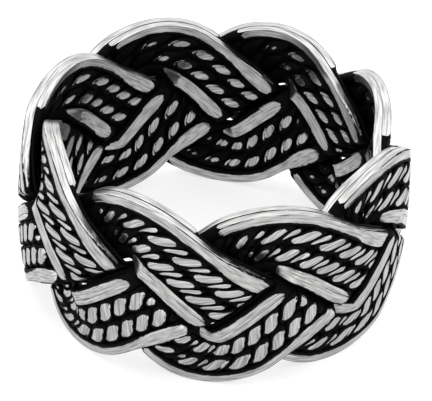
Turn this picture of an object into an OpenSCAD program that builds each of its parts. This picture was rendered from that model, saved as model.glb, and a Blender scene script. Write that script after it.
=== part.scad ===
// Braided band ring of oxidised silver, lying on its side with its axis along Z.
// Three flat strips are plaited into an open band, cut straight across and joined end to end.
// Each strip has two stacked rails along either edge and two rope ridges between them.
// Lengths are in millimetres. The origin is at the centre of the ring, level with what it lies on.

/* [Ring] */
// Inner diameter at the middle of the band
inner_d = 19; // [16:0.5:23]
// How much nearer to the axis the band's edges lie than its middle
dome = 0.42; // [0:0.02:0.8]

/* [Braid] */
// Length of one scallop along the edge, rounded to whole scallops in the girth
scallop_l = 8.4; // [7.6:0.1:10]
// Clear space between two neighbouring strips that run side by side
side_gap = 0.66; // [0.5:0.02:1]
// Clear space between two strips where one passes over the other
cross_gap = 0.12; // [0.1:0.01:0.2]
// Clear space at the joint between the ends of two strips
joint_gap = 0.03; // [0.02:0.01:0.1]
// How far a strip goes on rising or falling past the edge of the strip it crosses
ease = 0.3; // [0.2:0.05:0.5]

/* [Strip] */
// Width of a strip over its rails, midway between its turns
strip_w = 4.46; // [3.8:0.02:4.7]
// Width of a strip where it turns back at the band's edges
turn_w = 4.16; // [3.6:0.02:4.4]
// Thickness of a strip, two rails high
strip_t = 1.12; // [0.8:0.02:1.4]
// Width of a rail
rail_w = 0.66; // [0.5:0.02:0.9]
// Width of the rounded edge of a rail
rail_edge = 0.14; // [0.1:0.02:0.2]
// Depth of the groove between two stacked rails
rail_groove = 0.18; // [0.1:0.02:0.3]
// Depth of the grooves beside the rope ridges
rope_groove = 0.3; // [0.1:0.02:0.4]
// How far the rope ridges lie below the rails
rope_drop = 0.04; // [0:0.01:0.1]

/* [Hidden] */

// Height of the middle surface, and the number and real length of the scallops
mid_r = inner_d / 2 + strip_t + cross_gap / 2;
girth = 2 * PI * mid_r;
scallops = round(girth / scallop_l);
pitch = girth / scallops;

// A strip swings from edge to edge: one whole swing spans 360 degrees of phase and 3 scallops
strips = 3;
strip_phase = 360 / strips;
phase_mm = strips * pitch / 360;
phase_deg = strips / scallops;

// The strips cross the band steeply enough to lie side by side with side_gap between them
cross_angle = asin((strip_w + side_gap) / pitch);
sway_share = 0.606;
sway = sway_share * pitch * tan(cross_angle);
band_w = 2 * sway + turn_w;

// The swing is a cosine made a little straighter by its third and fifth harmonics
third = 0.062;
fifth = -0.022;
swing = sway / (1 + third + fifth);

// Angle of the first scallop of the upper edge, and of the joint, from the front towards +X
first_scallop = -180 / scallops;
joint_at = first_scallop + floor(scallops / 2) * 360 / scallops;

// Phase at either end of a half swing where a strip turns back and stops being a near neighbour
turn_back = 12;

// Phases at which a strip gets a section, within one half swing, closer where it changes level
STATIONS = [0, 12, 24, 36, 48, 60, 70, 78, 86, 94, 102, 110, 120, 132, 144, 156, 168];

// Half the cross-section of a strip at full width: distance from its middle line, and height as a
// share of half its thickness, on the outer face from the middle to the side, and back inside
rope_w = strip_w / 2 - rail_w;
groove_h = 1 - 2 * rope_groove / strip_t;
rope_h = 1 - 2 * rope_drop / strip_t;
side_h = 0.6;
FACE = [
    [0, groove_h],
    [0.3 * rope_w, rope_h],
    [0.74 * rope_w, rope_h],
    [rope_w, groove_h],
    [rope_w + rail_edge, 1],
    [strip_w / 2 - rail_edge, 1],
    [strip_w / 2, side_h],
];
RIGHT = concat(
    FACE,
    [[strip_w / 2 - rail_groove, 0]],
    [for (i = [len(FACE) - 1:-1:0]) [FACE[i][0], -FACE[i][1]]]
);
SECTION = concat(RIGHT, [for (i = [len(RIGHT) - 2:-1:1]) [-RIGHT[i][0], RIGHT[i][1]]]);

function clamp(x, low, high) = min(max(x, low), high);

function smooth(x) = let (c = clamp(x, 0, 1)) c * c * (3 - 2 * c);

// Place of a strip's middle line across the band, and its slope, at a phase
function wave(f) = swing * (cos(f) + third * cos(3 * f) + fifth * cos(5 * f));

function slope(f) =
    -swing * (sin(f) + 3 * third * sin(3 * f) + 5 * fifth * sin(5 * f)) * PI / 180 / phase_mm;

// Width of a strip at a phase
function width_at(f) = strip_w - (strip_w - turn_w) * pow(cos(f), 2);

// Phase of the point on a strip's middle line that is nearest to the place [s, z]
function nearest(f, s, z, low, high, steps) =
    steps == 0 ? f : let (
        m = slope(f),
        error = f * phase_mm - s + (wave(f) - z) * m
    ) nearest(clamp(f - error / (1 + m * m) / phase_mm, low, high), s, z, low, high, steps - 1);

// Distance from the place [s, z] to the edge of the neighbour whose phase is ahead by shift,
// negative on the neighbour itself. The neighbour is taken on the half swing it has at phase f.
function clear_of(f, s, z, shift) = let (
    half = 180 * floor((f + shift) / 180),
    low = half + turn_back,
    high = half + 180 - turn_back,
    near = nearest(clamp(s / phase_mm + shift, low, high), s + shift * phase_mm, z, low, high, 4),
    m = slope(near),
    across = abs(z - wave(near) - m * (s + shift * phase_mm - near * phase_mm)) / sqrt(1 + m * m)
) across - width_at(near) / 2 + rail_edge / 4;

// Heights of a strip's outer and inner faces over the middle surface. The strip lies under the
// neighbour one third of a swing ahead and over the one two thirds ahead, and changes level
// only in the open space between them.
function faces(f, s, z) = let (
    above = clear_of(f, s, z, strip_phase),
    below = clear_of(f, s, z, 2 * strip_phase),
    room = max(above + below + ease, ease / 4),
    rise = strip_t + cross_gap
) [rise * smooth(above / room) - cross_gap / 2, cross_gap / 2 - rise * smooth(below / room)];

// Point of the strip at phase f, y from its middle line, at height share v
function strip_point(f, y, v, turn) = let (
    m = slope(f),
    side = y * width_at(f) / strip_w / sqrt(1 + m * m),
    s = f * phase_mm - side * m,
    z = wave(f) + side,
    h = faces(f, s, z),
    depth = dome * pow(2 * z / band_w, 2),
    r = mid_r - depth + (h[0] + h[1]) / 2 + v * (h[0] - h[1]) / 2,
    angle = s / mid_r * 180 / PI + turn
) [r * sin(angle), -r * cos(angle), z + band_w / 2];

// Phases of all sections of a strip between two ends
function sections(start, end) = concat(
    [start],
    [
        for (half = [floor(start / 180):floor(end / 180)])
            for (station = STATIONS)
                let (f = 180 * half + station)
                    if (f > start + 1 && f < end - 1) f
    ],
    [end]
);

// A strip makes one lap from the joint to the joint
module strip(number) {
    turn = first_scallop - number * strip_phase * phase_deg;
    start = (joint_at - turn) / phase_deg;
    trim = joint_gap / 2 / phase_mm;
    phases = sections(start + trim, start + 360 / phase_deg - trim);
    n = len(SECTION);
    last = len(phases) - 1;
    points = [
        for (f = phases)
            for (p = SECTION)
                strip_point(f, p[0], p[1], turn)
    ];
    sides = [
        for (i = [0:last - 1])
            for (j = [0:n - 1])
                let (a = i * n + j, b = i * n + (j + 1) % n)
                    each [[a, b, a + n], [b, b + n, a + n]]
    ];
    ends = [
        [for (j = [n - 1:-1:0]) j],
        [for (j = [0:n - 1]) last * n + j]
    ];
    polyhedron(points, concat(sides, ends));
}

module strip_1() {
    color("silver") strip(0);
}

module strip_2() {
    color("silver") strip(1);
}

module strip_3() {
    color("silver") strip(2);
}

strip_1();
strip_2();
strip_3();
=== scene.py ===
"""Looks of a braided band ring of blackened silver.

Each strip of the braid is rebuilt in full over its plain solid: two stacked rails along either
edge, a dark web between them and two ropes, each of two twisted plies. A ply is a thick and a
thin wire side by side. The crowns are ground flat and polished, and everything below them is left
black.
"""

import math

import bpy
import numpy as np
from mathutils import Matrix, Vector


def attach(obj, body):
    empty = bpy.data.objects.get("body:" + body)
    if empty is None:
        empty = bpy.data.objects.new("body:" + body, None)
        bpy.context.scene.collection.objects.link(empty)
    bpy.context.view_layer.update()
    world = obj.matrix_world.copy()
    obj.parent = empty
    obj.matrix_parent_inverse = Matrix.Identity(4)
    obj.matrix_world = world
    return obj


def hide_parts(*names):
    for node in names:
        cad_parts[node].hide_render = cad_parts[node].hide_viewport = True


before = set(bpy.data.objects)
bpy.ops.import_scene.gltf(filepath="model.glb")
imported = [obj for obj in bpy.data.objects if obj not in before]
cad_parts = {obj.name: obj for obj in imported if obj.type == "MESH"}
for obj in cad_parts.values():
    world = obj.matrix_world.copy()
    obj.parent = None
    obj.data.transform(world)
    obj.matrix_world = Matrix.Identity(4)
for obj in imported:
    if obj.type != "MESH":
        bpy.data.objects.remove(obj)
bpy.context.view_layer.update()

# Lengths are in millimetres. A strip's phase, f, is in degrees: it swings from the band's upper
# edge to the lower one and back in 360. A place s is measured round the band, and z across it.
MM = 0.001

# The braid, as the solids have it
INNER_D = 19.0
DOME = 0.42
SCALLOPS = 8
STRIPS = 3
STRIP_W = 4.46
TURN_W = 4.16
STRIP_T = 1.12
SIDE_GAP = 0.66
CROSS_GAP = 0.12
EASE = 0.3
RAIL_EDGE = 0.14
SWAY_SHARE = 0.606
THIRD = 0.062
FIFTH = -0.022
TURN_BACK = 12
NEAREST_STEPS = 4

MID_R = INNER_D / 2 + STRIP_T + CROSS_GAP / 2
PITCH = 2 * math.pi * MID_R / SCALLOPS
PHASE_MM = STRIPS * PITCH / 360
PHASE_DEG = STRIPS / SCALLOPS
SWAY = SWAY_SHARE * PITCH * math.tan(math.asin((STRIP_W + SIDE_GAP) / PITCH))
BAND_W = 2 * SWAY + TURN_W
SWING = SWAY / (1 + THIRD + FIFTH)
FIRST_SCALLOP = -180 / SCALLOPS
JOINT_AT = FIRST_SCALLOP + SCALLOPS // 2 * 360 / SCALLOPS
RISE = STRIP_T + CROSS_GAP

# How far ahead in phase the neighbour is that covers a strip, and the one that it covers
COVERING = 360 / STRIPS
COVERED = 720 / STRIPS
# Phase within a half swing from which the covering neighbour crosses the strip, where before it
# runs beside it, and phase up to which the covered one does
CROSSED_FROM = 180 - COVERING
CROSSING_UNTIL = 360 - COVERED

# Points along a strip's middle line from which its length is taken
LAP_POINTS = 4001
# Width of the thin ring at either end of a wire
END_RING = 0.004

# How far wires stand over the strip's faces before grinding, how far under them they are ground,
# and how far they stay below the solids' highest face
PROUD = 0.11
GROUND_OUTSIDE = 0.03
GROUND_INSIDE = 0.07
TOP_ROOM = 0.015
HIGHEST = RISE - CROSS_GAP / 2 - TOP_ROOM
# Height over the grinding that counts as deep in the black
UNGROUND = -1
# Distance from the neighbour's edge at which the grinding starts and is full, on the outer face
# where the strip rises over the band's edge and where it dives in mid-band, and on the inner face
RISING_FROM, RISING_FULL = 0.15, 0.7
DIVING_FROM, DIVING_FULL = 0.3, 0.85
INSIDE_FROM, INSIDE_FULL = 0.5, 0.85
# How much sooner the inner face's polish ends where the strip has begun to dive in mid-band
DIVE = 0.5
# How much sooner than the plain solids a strip reaches its full height in mid-band, and how much
# steeper its side there is beside a turn
STEEP = 0.3
KEEN = 0.6
# Distances from the band's middle line up to which a place counts as mid-band, and from which not
MIDDLE_FULL = 2.5
MIDDLE_NONE = 4.0

# Rails: width, how much broader they are in mid-band towards the next strip, half the groove
# between two stacked ones, and height as a share of the highest crown's
RAIL_W = 0.82
OUTER_BROADER = 0.22
INNER_BROADER = 0.3
RAIL_GROOVE = 0.04
RAIL_CREST = 0.95
RAIL_STEP = 0.15
# Powers of a rail's rounded section: its crown, its outward edge, and how much wear adds below
OUTER_POWER = 3.2
INNER_POWER = 2.8
EDGE_POWER = 2.2
WORN_POWER = 9
RAIL_SIDES = 20
# Fine seam along an outer rail: its place on the crown, its half width, its depth, the point of
# the section that it comes before, and how steep the strip has to be for it to be open
SEAM_AT = -0.12
SEAM_W = 0.03
SEAM_DEPTH = 0.24
SEAM_AFTER = RAIL_SIDES // 2 + 1
SEAM_SLOPE = 0.4
SEAM_OPEN = 0.8
SEAM_SLOWEST = 10
# How far the rims are filed off, where they lie near enough to the band's edge, how unevenly, and
# how far from filed they are in mid-band
OUTER_EDGE_CUT = 0.055
INNER_EDGE_CUT = 0.045
EDGE_CUT_FROM = 0.5
EDGE_CUT_FULL = 4.2
EDGE_CUT_UNEVEN = 0.35
EDGE_UNCUT = 0.02
# Distance from the neighbour's edge at which the filing of the rims starts and is full
RIM_FROM, RIM_FULL = 0.0, 0.9
# Wear of the rims at the ring's front and back as a share of that at its sides, and how quickly it
# falls off towards mid-band
WORN_FRONT = 0.3
WORN_FALL = 3
# Distance from the neighbour's edge over which a rail comes to a rounded tip, how far its sides
# drop at most, and its middle as a share of them
TIP_FROM, TIP_FULL = 0.1, 0.85
TIP_MOST = 0.4
TIP_CENTRE = 0.4
# How far the filed side draws back at a tip, at half height and away from there
EDGE_CENTRE = 0.2
EDGE_TIP = 2.5
# Where a rail's polish ends in front of a strip that crosses it: the place at the crest, past the
# start of the grinding on the outer face and from the crossing strip on the inner one, how much
# farther back it ends at the rail's sides, how broad it is there, and how fast it fades
OUTER_END = 0.35
INNER_END = 0.85
END_ROUND = 0.9
END_BREADTH = 0.9
END_FADE = 0.2
# Share of a rail's half width that is polished, towards the ropes near the band's edges and in
# mid-band, and towards the strip's edge, and how fast the polish fades there
CREST_EDGE = 0.45
CREST_MIDDLE = 0.95
CREST_OUTWARD = 0.85
CREST_FADE = 0.1

# Ropes: distance of their axes from the strip's middle line, and length of one full twist
ROW_AT = 0.7
ROPE_PITCH = 2.84
# How far the twist lags behind, by face and by whether the strip rises or falls, so that it is
# tightest where the strip rises on the outer face, and slacker on the inner one
LAG_BY_FACE = 0.175
LAG_BY_WAY = 0.818
LAG_PHASE = 41
# How far either rope is turned from the mean of the two, and how uneven the twist is, in radians
ROW_TURN = 0.8
TURN_UNEVEN = 0.16
# How far a ply swings to either side, how much farther outside than inside, and how unevenly
ROPE_SWAY = 0.45
SWAY_CHANGE = 0.07
SWAY_UNEVEN = 0.05
# How far it swings up and down, how square the swing is on either face, and the least size of it
# that still gives a direction
ROPE_RISE = 0.4
OUTSIDE_FLAT = 0.38
INSIDE_FLAT = 0.8
LEAST_BULK = 1e-3
# Half height and half width of the thick wire, also where wear has made the pair one on the outer
# and the inner face, and of the thin wire beside it, which then lies nearer by a share
WIRE_H = 0.27
THICK_R = 0.33
FUSED_R = 0.42
INSIDE_R = 0.37
THIN_H = 0.18
THIN_R = 0.15
THIN_NEARER = 0.2
# Slope at which a strip counts as rising, where its lower half begins and how gently, and how
# quickly a ply changes between the faces
RISING_SLOPE = 0.4
LOWER_HALF = 0.7
LOWER_FADE = 3
FACE_CHANGE = 3
ROPE_STEP = 0.11
ROPE_BEYOND = 0.5
ROPE_SIDES = 12
# How deep under the crown of a wire's ground flat the black begins, on the outer and inner faces
OUTSIDE_DULL = 0.045
INSIDE_DULL = 0.1
# How much deeper it begins where a strip comes out from under its neighbour beside a turn, and
# the degrees of phase past the turn between which it deepens
OUTSIDE_COVER = 0.05
INSIDE_COVER = 0.07
COVER_FROM = -35
COVER_FULL = 20

# Web between the wires: half its thickness as a share, its distance from the strip's edge, and the
# points across it
WEB_H = 0.22
WEB_INSET = 0.25
WEB_POINTS = 5
WEB_STEP = 2 * RAIL_STEP

# Smooth random values: number of waves, the fewest and the most cycles round the whole plait, and
# what brings their sum to about 1
WOBBLE_WAVES = 8
WOBBLE_SLOWEST = 5
WOBBLE_FASTEST = 60
WOBBLE_PEAK = 1.5
SEAM_SEED = 5
FILED_SEED = 11
TURN_SEED = 21
SWAY_SEED = 31

# Distances that set the streaks of the wires apart from each other
SIDE_APART = 9
LAYER_APART = 3
ROW_APART = 20
PLY_APART = 6

# Surface of the metal
POLISHED = (0.5, 0.5, 0.495, 1)
BLACKENED = (0.002, 0.002, 0.002, 1)
WHITE = (1, 1, 1, 1)
BLACK = (0, 0, 0, 1)
POLISHED_ROUGH = 0.28
BLACKENED_ROUGH = 0.6
SPECULAR = 0.03
# Streaks of the polish: scale along and across a wire, detail, the noise at which they are darkest
# and brightest, and how dark
STREAK_ALONG, STREAK_ACROSS = 0.9, 9
STREAK_DETAIL = 3
STREAK_DARKEST, STREAK_BRIGHTEST = 0.35, 0.62
STREAK_TONE = 0.42
# How unevenly the grinding took the metal off, in millimetres, at what scale, and how soft the
# border of the black is
EDGE_NOISE = 0.05
EDGE_ALONG, EDGE_ACROSS = 2.2, 5
EDGE_DETAIL = 2
EDGE_SOFT = 0.008

# Floor and sky. The sky is brighter overhead, like a soft box above the table
FLOOR_HALF = 0.6
FLOOR_COLOUR = (0.36, 0.36, 0.36, 1)
FLOOR_GLOW = 0.63
FLOOR_ROUGH = 0.9
FLOOR_SPECULAR = 0.1
SKY_LOW = 1.45
SKY_HIGH = 2.4

# The photo's camera, measured from the strips' edges: the frame in pixels, its angles in degrees,
# its distance, the picture's scale in the middle, and the pixel at the ring's centre
IMAGE_W = 432
IMAGE_H = 401
CAMERA_UP = 35.54
CAMERA_ROLL = 3.77
CAMERA_ROUND = 1.24
CAMERA_FAR = 221
PIXELS_PER_MM = 16.5
RING_AT = (213.54, 193.46)
SENSOR_W = 36
CLIP_NEAR, CLIP_FAR = 0.01, 10


def mix(low, high, share):
    return low + (high - low) * share


def smooth(x):
    x = np.clip(x, 0, 1)
    return x * x * (3 - 2 * x)


def ramp(x, start, full):
    """Smooth change from 0 at start to 1 at full."""
    return smooth((x - start) / (full - start))


def wave(f):
    """Place of a strip's middle line across the band."""
    r = np.radians(f)
    return SWING * (np.cos(r) + THIRD * np.cos(3 * r) + FIFTH * np.cos(5 * r))


def slope(f):
    r = np.radians(f)
    rate = np.sin(r) + 3 * THIRD * np.sin(3 * r) + 5 * FIFTH * np.sin(5 * r)
    return -SWING * rate * math.pi / 180 / PHASE_MM


def width_at(f):
    return STRIP_W - (STRIP_W - TURN_W) * np.cos(np.radians(f)) ** 2


def between_turns(f):
    """0 at a strip's turns and 1 midway between them."""
    return np.sin(np.radians(f)) ** 2


def mid_band(z):
    """1 in the middle of the band and 0 near its edges."""
    return ramp(np.abs(z), MIDDLE_NONE, MIDDLE_FULL)


def clear_of(f, s, z, shift):
    """Distance from [s, z] to the edge of the neighbour whose phase is ahead by shift."""
    half = 180 * np.floor((f + shift) / 180)
    low, high = half + TURN_BACK, half + 180 - TURN_BACK
    near = np.clip(s / PHASE_MM + shift, low, high)
    for _ in range(NEAREST_STEPS):
        m = slope(near)
        error = (near - shift) * PHASE_MM - s + (wave(near) - z) * m
        near = np.clip(near - error / (1 + m * m) / PHASE_MM, low, high)
    m = slope(near)
    across = np.abs(z - wave(near) - m * (s - (near - shift) * PHASE_MM)) / np.sqrt(1 + m * m)
    return across - width_at(near) / 2 + RAIL_EDGE / 4


def stations(length, step, beyond=0):
    """Places along a wire, with a thin ring at either end so that its shading stays true."""
    ends = np.array([0, END_RING]) - beyond
    count = int((length + 2 * beyond) / step) - 1
    inner = np.linspace(step - beyond, length - step + beyond, count)
    return np.concatenate([ends, inner, length - ends[::-1]])


class Lap:
    """One strip's middle line, from the joint round to the joint again."""

    def __init__(self, number):
        self.turn = FIRST_SCALLOP - number * COVERING * PHASE_DEG
        start = (JOINT_AT - self.turn) / PHASE_DEG
        self.phase = np.linspace(start, start + 360 / PHASE_DEG, LAP_POINTS)
        step = np.hypot(np.diff(self.phase) * PHASE_MM, np.diff(wave(self.phase)))
        self.run = np.concatenate([[0], np.cumsum(step)])
        self.length = self.run[-1]
        self.before = 0

    def place(self, run, y, h):
        """Points in metres, and how far each was ground off, for places along, across and up.

        A height of 1 is the crown of an unground wire on the outer face, and -1 on the inner face.
        """
        f = np.interp(run, self.run, self.phase)
        m = slope(f)
        side = y * width_at(f) / STRIP_W / np.sqrt(1 + m * m)
        s = f * PHASE_MM - side * m
        z = wave(f) + side
        above = clear_of(f, s, z, COVERING)
        below = clear_of(f, s, z, COVERED)
        room = np.maximum(above + below + EASE, EASE / 4)
        steep_part = between_turns(f)
        middle = mid_band(z)
        sooner = 1 + STEEP * steep_part
        keen = 1 + KEEN * (1 - steep_part) * middle
        risen = smooth(0.5 + keen * (sooner * above / room - 0.5))
        sunk = smooth(0.5 + keen * (sooner * below / room - 0.5))
        outer = RISE * risen - CROSS_GAP / 2
        inner = CROSS_GAP / 2 - RISE * sunk
        start = mix(RISING_FROM, DIVING_FROM, steep_part)
        bare_out = ramp(above, start, mix(RISING_FULL, DIVING_FULL, steep_part))
        bare_in = ramp(below - DIVE * (1 - sunk) * middle, INSIDE_FROM, INSIDE_FULL)
        proud = PROUD * np.where(h > 0, bare_out, bare_in)
        level = (outer + inner) / 2 + h * ((outer - inner) / 2 + proud)
        top = outer + PROUD * (1 - bare_out) - GROUND_OUTSIDE * bare_out
        bottom = inner - PROUD * (1 - bare_in) + GROUND_INSIDE * bare_in
        ground = np.maximum(level - top, bottom - level)
        level = np.minimum(np.clip(level, bottom, top), HIGHEST)
        r = MID_R - DOME * (2 * z / BAND_W) ** 2 + level
        angle = s / MID_R + math.radians(self.turn)
        points = np.stack([r * np.sin(angle), -r * np.cos(angle), z + BAND_W / 2], -1)
        return points * MM, ground


LAPS = [Lap(number) for number in range(STRIPS)]
# A strip goes on from the end of the one after it, so the wires are measured round the whole plait
for strip in range(STRIPS - 1, 0, -1):
    after = LAPS[(strip + 1) % STRIPS]
    LAPS[strip].before = after.before + after.length
WHOLE = sum(lap.length for lap in LAPS)


def wobble(run, seed, slowest=WOBBLE_SLOWEST):
    """Smooth random values of about -1 to 1 along the closed plait."""
    rng = np.random.default_rng(seed)
    total = 0
    for cycles in rng.integers(slowest, WOBBLE_FASTEST, WOBBLE_WAVES):
        total = total + np.sin(2 * math.pi * (cycles * run / WHOLE + rng.random()))
    return total / math.sqrt(WOBBLE_WAVES) / WOBBLE_PEAK


def tube_faces(rings, sides):
    """Quads of a tube through rings of points, with a face over either end."""
    i = np.arange(rings - 1)[:, None] * sides
    j = np.arange(sides)[None, :]
    a, b = i + j, i + (j + 1) % sides
    quads = np.stack([a, b, b + sides, a + sides], -1).reshape(-1, 4).tolist()
    first = list(range(sides - 1, -1, -1))
    last = list(range((rings - 1) * sides, rings * sides))
    return quads + [first, last]


def make_piece(name, tubes, material, node):
    """One mesh object from tubes.

    Each tube is given as its points, how far they were ground off, and their places along and
    across the wire for the streaks.
    """
    verts, polys = [], []
    values = {"ground": [], "along": [], "across": []}
    base = 0
    for points, *amounts in tubes:
        rings, sides = points.shape[:2]
        verts.append(points.reshape(-1, 3))
        for key, amount in zip(values, amounts):
            values[key].append(amount.reshape(-1))
        polys += [[base + v for v in p] for p in tube_faces(rings, sides)]
        base += rings * sides
    mesh = bpy.data.meshes.new(name)
    mesh.from_pydata(np.concatenate(verts).tolist(), [], polys)
    for key, amounts in values.items():
        attribute = mesh.attributes.new(key, "FLOAT", "POINT")
        attribute.data.foreach_set("value", np.concatenate(amounts).astype(np.float32))
    mesh.polygons.foreach_set("use_smooth", [True] * len(polys))
    mesh.materials.append(material)
    mesh.update()
    piece = bpy.data.objects.new(name, mesh)
    bpy.context.collection.objects.link(piece)
    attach(piece, "root")
    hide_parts(node)


def rail_section(crown_power, worn, seamed):
    """A rounded bar, with three extra points over its crown if it has a seam.

    Gives each point's place across and up, from -1 to 1, and its share of the seam's depth.
    """
    angles = np.linspace(-math.pi / 2, 3 * math.pi / 2, RAIL_SIDES, endpoint=False)[None, :]
    c, s = np.cos(angles), np.sin(angles)
    upper = np.where(c > 0, EDGE_POWER, crown_power)
    power = np.where(s > 0, upper, crown_power + WORN_POWER * worn)
    x = np.sign(c) * np.abs(c) ** (2 / power)
    h = np.sign(s) * np.abs(s) ** (2 / power)
    seam = np.zeros(RAIL_SIDES)
    if seamed:
        where = 2 * (SEAM_AT + SEAM_W * np.array([[1, 0, -1]])) / RAIL_W
        crown = (1 - np.abs(where) ** crown_power) ** (1 / crown_power)
        extra = [np.broadcast_to(part, (len(worn), 3)) for part in (where, crown)]
        x = np.concatenate([x[:, :SEAM_AFTER], extra[0], x[:, SEAM_AFTER:]], 1)
        h = np.concatenate([h[:, :SEAM_AFTER], extra[1], h[:, SEAM_AFTER:]], 1)
        seam = np.insert(seam, [SEAM_AFTER] * 3, [0, 1, 0])
    return x, h, seam


def rail_end(f, x, layer):
    """Where a rail is crossed, and how far from the crossing strip its polish ends."""
    rounded = 1 - np.sqrt(1 - np.minimum(np.abs(x) / END_BREADTH, 1) ** 2)
    if layer > 0:
        start = mix(RISING_FROM, DIVING_FROM, between_turns(f))
        return f % 180 >= CROSSED_FROM, start + OUTER_END + END_ROUND * rounded
    return f % 180 < CROSSING_UNTIL, INNER_END + END_ROUND * rounded


def rail(lap, side, layer):
    """A rail along one edge, on the outer or the inner layer."""
    run = stations(lap.length, RAIL_STEP)[:, None]
    f = np.interp(run, lap.run, lap.phase)
    whole = run + lap.before
    rim = side * width_at(f) / 2 / np.sqrt(1 + slope(f) ** 2)
    z = wave(f) + rim
    clear = clear_of(f, f * PHASE_MM - rim * slope(f), z, COVERING if layer > 0 else COVERED)
    # The rims are filed where they lie near the band's edge, and worn flatter at the ring's sides
    near_edge = ramp(side * z, EDGE_CUT_FROM, EDGE_CUT_FULL) * ramp(clear, RIM_FROM, RIM_FULL)
    angle = f * PHASE_MM / MID_R + math.radians(lap.turn)
    worn = near_edge ** WORN_FALL * mix(WORN_FRONT, 1, np.sin(angle) ** 2)
    x, h, seam = rail_section(OUTER_POWER if layer > 0 else INNER_POWER, worn, layer > 0)
    tip = np.minimum(1 - ramp(clear, TIP_FROM, TIP_FULL), TIP_MOST)
    groove = RAIL_GROOVE * (1 - worn)
    centre = TIP_CENTRE * (1 - mid_band(z) * np.cos(np.radians(f)) ** 2)
    height = layer * (groove + (RAIL_CREST - groove) / 2 * (1 + h)) * (1 - tip * (centre + x * x))
    broader = (OUTER_BROADER if layer > 0 else INNER_BROADER) * mid_band(z)
    edge = STRIP_W / 2 + broader
    across = edge + (x - 1) * (RAIL_W + broader) / 2
    cut = OUTER_EDGE_CUT if layer > 0 else INNER_EDGE_CUT
    cut = cut * near_edge * (1 + EDGE_CUT_UNEVEN * wobble(whole, FILED_SEED + side))
    filed = cut - EDGE_UNCUT * (1 - near_edge)
    drawn_back = tip * (EDGE_CENTRE + EDGE_TIP * (np.abs(height) - 0.5) ** 2)
    shaved = across - (edge - filed) - drawn_back
    across = np.minimum(across, edge - np.maximum(filed, 0))
    if layer > 0:
        uneven = smooth(SEAM_OPEN + wobble(whole, SEAM_SEED + side, SEAM_SLOWEST))
        height = height - SEAM_DEPTH * seam * (ramp(side * slope(f), 0, SEAM_SLOPE) * uneven)
    points, ground = lap.place(*np.broadcast_arrays(run, side * across, height))
    crossed, reach = rail_end(f, x, layer)
    ground = np.where(crossed, np.minimum(ground, END_FADE * (clear - reach)), ground)
    crest = np.where(x < 0, mix(CREST_EDGE, CREST_MIDDLE, mid_band(z)), CREST_OUTWARD)
    ground = np.minimum(ground, CREST_FADE * (crest - np.abs(x)))
    ground = np.maximum(ground, np.where(filed > 0, shaved, UNGROUND))
    sideways = across - STRIP_T / 2 * np.abs(height) + SIDE_APART * side + LAYER_APART * layer
    tube = [points, ground, *np.broadcast_arrays(whole, sideways)]
    # Faces look outwards only if the section runs the same way round on either side and layer
    return [part[:, ::-1] for part in tube] if side * layer < 0 else tube


def web(lap):
    """The dark floor between and under the wires. Its streaks don't show."""
    run = stations(lap.length, WEB_STEP)[:, None]
    edge = STRIP_W / 2 - WEB_INSET
    y = np.linspace(edge, -edge, WEB_POINTS)
    y = np.concatenate([y, y[::-1]])[None, :]
    h = np.repeat([WEB_H, -WEB_H], WEB_POINTS)[None, :]
    points, ground = lap.place(*np.broadcast_arrays(run, y, h))
    return points, np.full_like(ground, UNGROUND), ground, ground


def unit(vectors):
    return vectors / np.linalg.norm(vectors, axis=1, keepdims=True)


def ply_line(run, c, s, sway):
    """A ply's middle line, and the directions out of its rope and beside it."""
    bulk = np.maximum(np.abs(s), LEAST_BULK)
    flat = np.where(s > 0, OUTSIDE_FLAT, INSIDE_FLAT)
    path = np.stack([run, sway * c, ROPE_RISE * np.sign(s) * bulk ** flat], -1)
    tangent = unit(np.gradient(path, axis=0))
    sideways = ROPE_RISE * flat * bulk ** (flat - 1) * c
    out = np.stack([np.zeros_like(run), sideways, sway * s], -1)
    out = unit(out - tangent * (out * tangent).sum(1, keepdims=True))
    return path, out, np.cross(tangent, out)


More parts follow.
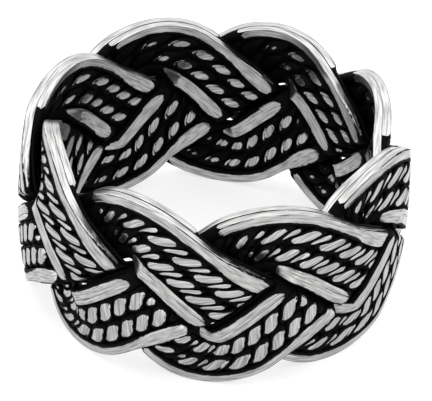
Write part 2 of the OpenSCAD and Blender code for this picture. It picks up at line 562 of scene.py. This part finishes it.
def ply_wire(lap, row, half_turn, thick):
    """The thick or the thin wire of one ply of a rope."""
    run = stations(lap.length, ROPE_STEP, ROPE_BEYOND)
    whole = run + lap.before
    f = np.interp(run, lap.run, lap.phase)
    f = f + (run - np.clip(run, 0, lap.length)) / PHASE_MM / np.sqrt(1 + slope(f) ** 2)
    # The rope has a whole number of half twists in the closed plait
    halves = round(2 * WHOLE / ROPE_PITCH)
    lag = LAG_BY_FACE * np.cos(2 * np.radians(f)) + LAG_BY_WAY * np.sin(np.radians(f - LAG_PHASE))
    turn = -math.pi * halves * (whole - lag) / WHOLE + half_turn * math.pi + row * ROW_TURN
    turn = turn + TURN_UNEVEN * wobble(whole, TURN_SEED + row)
    c, s = np.cos(turn), np.sin(turn)
    sway = (ROPE_SWAY + SWAY_CHANGE * s) * (1 + SWAY_UNEVEN * wobble(whole, SWAY_SEED + row))
    path, out, beside = ply_line(run, c, s, sway)
    # The pair is worn into one on the inner face and on the rising strips' lower half
    rising = ramp(slope(f), 0, RISING_SLOPE) * smooth(LOWER_HALF - wave(f) / LOWER_FADE)
    fused = np.maximum(smooth(-FACE_CHANGE * s), rising)
    if thick:
        radius = mix(THICK_R, np.where(s > 0, FUSED_R, INSIDE_R), fused)
        high = WIRE_H
        aside = -THIN_R * (1 - fused)
    else:
        radius = np.full_like(run, THIN_R)
        high = THIN_H
        aside = THICK_R * (1 - THIN_NEARER * fused)
    a = np.linspace(-math.pi, math.pi, ROPE_SIDES, endpoint=False)[None, :, None]
    centre = path + beside * aside[:, None]
    wide = radius[:, None, None] * np.sin(a) * beside[:, None, :]
    ring = centre[:, None, :] + high * np.cos(a) * out[:, None, :] + wide
    along = np.clip(ring[..., 0], 0, lap.length)
    crown = STRIP_T / 2 + PROUD
    points, ground = lap.place(along, row * ROW_AT + ring[..., 1], ring[..., 2] / crown)
    dull = np.where(s > 0, OUTSIDE_DULL, INSIDE_DULL) * (high / WIRE_H) ** 2
    past_turn = (np.where(s > 0, -f, f) + 90) % 180 - 90
    covered = ramp(past_turn, COVER_FROM, COVER_FULL)
    dull = dull + np.where(s > 0, OUTSIDE_COVER, INSIDE_COVER) * covered
    ground = ground - dull[:, None]
    sideways = aside[:, None] + radius[:, None] * np.sin(a[..., 0])
    sideways = sideways + ROW_APART * row + PLY_APART * half_turn + thick
    return points, ground, np.broadcast_to(whole[:, None], ground.shape), sideways


def silver():
    """Blackened silver, bright and finely streaked where it was ground and polished."""
    material = bpy.data.materials.new("oxidised_silver")
    material.use_nodes = True
    nodes, links = material.node_tree.nodes, material.node_tree.links
    shader = nodes["Principled BSDF"]
    value = {}
    for key in ("ground", "along", "across"):
        node = nodes.new("ShaderNodeAttribute")
        node.attribute_name = key
        value[key] = node.outputs["Fac"]

    def set_or_link(socket, source):
        if isinstance(source, (int, float, tuple)):
            socket.default_value = source
        else:
            links.new(source, socket)

    def math_node(operation, a, b):
        node = nodes.new("ShaderNodeMath")
        node.operation = operation
        set_or_link(node.inputs[0], a)
        set_or_link(node.inputs[1], b)
        return node.outputs["Value"]

    def map_range(source, from_min, from_max, to_min, to_max, interpolation="LINEAR"):
        node = nodes.new("ShaderNodeMapRange")
        node.interpolation_type = interpolation
        ends = {"From Min": from_min, "From Max": from_max, "To Min": to_min, "To Max": to_max}
        for socket, end in ends.items():
            node.inputs[socket].default_value = end
        links.new(source, node.inputs["Value"])
        return node.outputs["Result"]

    def mix_colours(share, low, high):
        node = nodes.new("ShaderNodeMix")
        node.data_type = "RGBA"
        links.new(share, node.inputs["Factor"])
        set_or_link(node.inputs["A"], low)
        set_or_link(node.inputs["B"], high)
        return node.outputs["Result"]

    def streaks(along, across, detail):
        place = nodes.new("ShaderNodeCombineXYZ")
        links.new(math_node("MULTIPLY", value["along"], along), place.inputs["X"])
        links.new(math_node("MULTIPLY", value["across"], across), place.inputs["Y"])
        noise = nodes.new("ShaderNodeTexNoise")
        noise.inputs["Scale"].default_value = 1
        noise.inputs["Detail"].default_value = detail
        links.new(place.outputs["Vector"], noise.inputs["Vector"])
        return noise.outputs["Fac"]

    uneven = math_node("SUBTRACT", streaks(EDGE_ALONG, EDGE_ACROSS, EDGE_DETAIL), 0.5)
    ground = math_node("ADD", value["ground"], math_node("MULTIPLY", uneven, EDGE_NOISE))
    bright = map_range(ground, -EDGE_SOFT, EDGE_SOFT, 0, 1, "SMOOTHSTEP")
    fine = streaks(STREAK_ALONG, STREAK_ACROSS, STREAK_DETAIL)
    tone = map_range(fine, STREAK_DARKEST, STREAK_BRIGHTEST, STREAK_TONE, 1)
    polished = mix_colours(tone, BLACK, POLISHED)
    links.new(mix_colours(bright, BLACKENED, polished), shader.inputs["Base Color"])
    links.new(bright, shader.inputs["Metallic"])
    rough = map_range(bright, 0, 1, BLACKENED_ROUGH, POLISHED_ROUGH)
    links.new(rough, shader.inputs["Roughness"])
    shader.inputs["Specular IOR Level"].default_value = SPECULAR
    return material


def dress(number, material):
    node = "strip_%d" % (number + 1)
    lap = LAPS[number]
    rails = [rail(lap, side, layer) for side in (-1, 1) for layer in (-1, 1)]
    make_piece(node + "_rails", rails + [web(lap)], material, node)
    wires = [
        ply_wire(lap, row, half_turn, thick)
        for row in (-1, 1)
        for half_turn in (0, 1)
        for thick in (True, False)
    ]
    make_piece(node + "_ropes", wires, material, node)


def floor():
    size = FLOOR_HALF
    mesh = bpy.data.meshes.new("floor")
    corners = [(-size, -size, 0), (size, -size, 0), (size, size, 0), (-size, size, 0)]
    mesh.from_pydata(corners, [], [(0, 1, 2, 3)])
    plane = bpy.data.objects.new("floor", mesh)
    bpy.context.collection.objects.link(plane)
    material = bpy.data.materials.new("floor")
    material.use_nodes = True
    shader = material.node_tree.nodes["Principled BSDF"]
    shader.inputs["Base Color"].default_value = FLOOR_COLOUR
    shader.inputs["Roughness"].default_value = FLOOR_ROUGH
    shader.inputs["Specular IOR Level"].default_value = FLOOR_SPECULAR
    shader.inputs["Emission Color"].default_value = WHITE
    shader.inputs["Emission Strength"].default_value = FLOOR_GLOW
    mesh.materials.append(material)


def light():
    world = bpy.data.worlds.new("studio")
    bpy.context.scene.world = world
    world.use_nodes = True
    nodes, links = world.node_tree.nodes, world.node_tree.links
    background = nodes["Background"]
    background.inputs["Color"].default_value = WHITE
    direction = nodes.new("ShaderNodeTexCoord")
    height = nodes.new("ShaderNodeSeparateXYZ")
    strength = nodes.new("ShaderNodeMapRange")
    strength.inputs["To Min"].default_value = SKY_LOW
    strength.inputs["To Max"].default_value = SKY_HIGH
    links.new(direction.outputs["Generated"], height.inputs["Vector"])
    links.new(height.outputs["Z"], strength.inputs["Value"])
    links.new(strength.outputs["Result"], background.inputs["Strength"])


def camera():
    up, about, roll = (math.radians(a) for a in (CAMERA_UP, CAMERA_ROUND, CAMERA_ROLL))
    back = Vector((math.sin(about) * math.cos(up), -math.cos(about) * math.cos(up), math.sin(up)))
    right = Vector((math.cos(about), math.sin(about), 0))
    above = back.cross(right)
    cam_x = math.cos(roll) * right + math.sin(roll) * above
    cam_y = -math.sin(roll) * right + math.cos(roll) * above
    centre = Vector((0, 0, BAND_W / 2)) * MM
    aim_x = (IMAGE_W / 2 - RING_AT[0]) / PIXELS_PER_MM * MM
    aim_y = (RING_AT[1] - IMAGE_H / 2) / PIXELS_PER_MM * MM
    place = centre + back * CAMERA_FAR * MM
    look = (place - centre - cam_x * aim_x - cam_y * aim_y).normalized()
    cam_x = (cam_x - look * cam_x.dot(look)).normalized()
    cam_y = look.cross(cam_x)
    data = bpy.data.cameras.new("camera")
    data.sensor_width = SENSOR_W
    data.lens = PIXELS_PER_MM * CAMERA_FAR * data.sensor_width / IMAGE_W
    data.clip_start, data.clip_end = CLIP_NEAR, CLIP_FAR
    cam = bpy.data.objects.new("camera", data)
    bpy.context.collection.objects.link(cam)
    turn = Matrix((cam_x, cam_y, look)).transposed().to_4x4()
    cam.matrix_world = Matrix.Translation(place) @ turn
    bpy.context.scene.camera = cam


finish = silver()
for strip in range(STRIPS):
    dress(strip, finish)
floor()
light()
camera()
bpy.context.scene.view_settings.view_transform = "Standard"
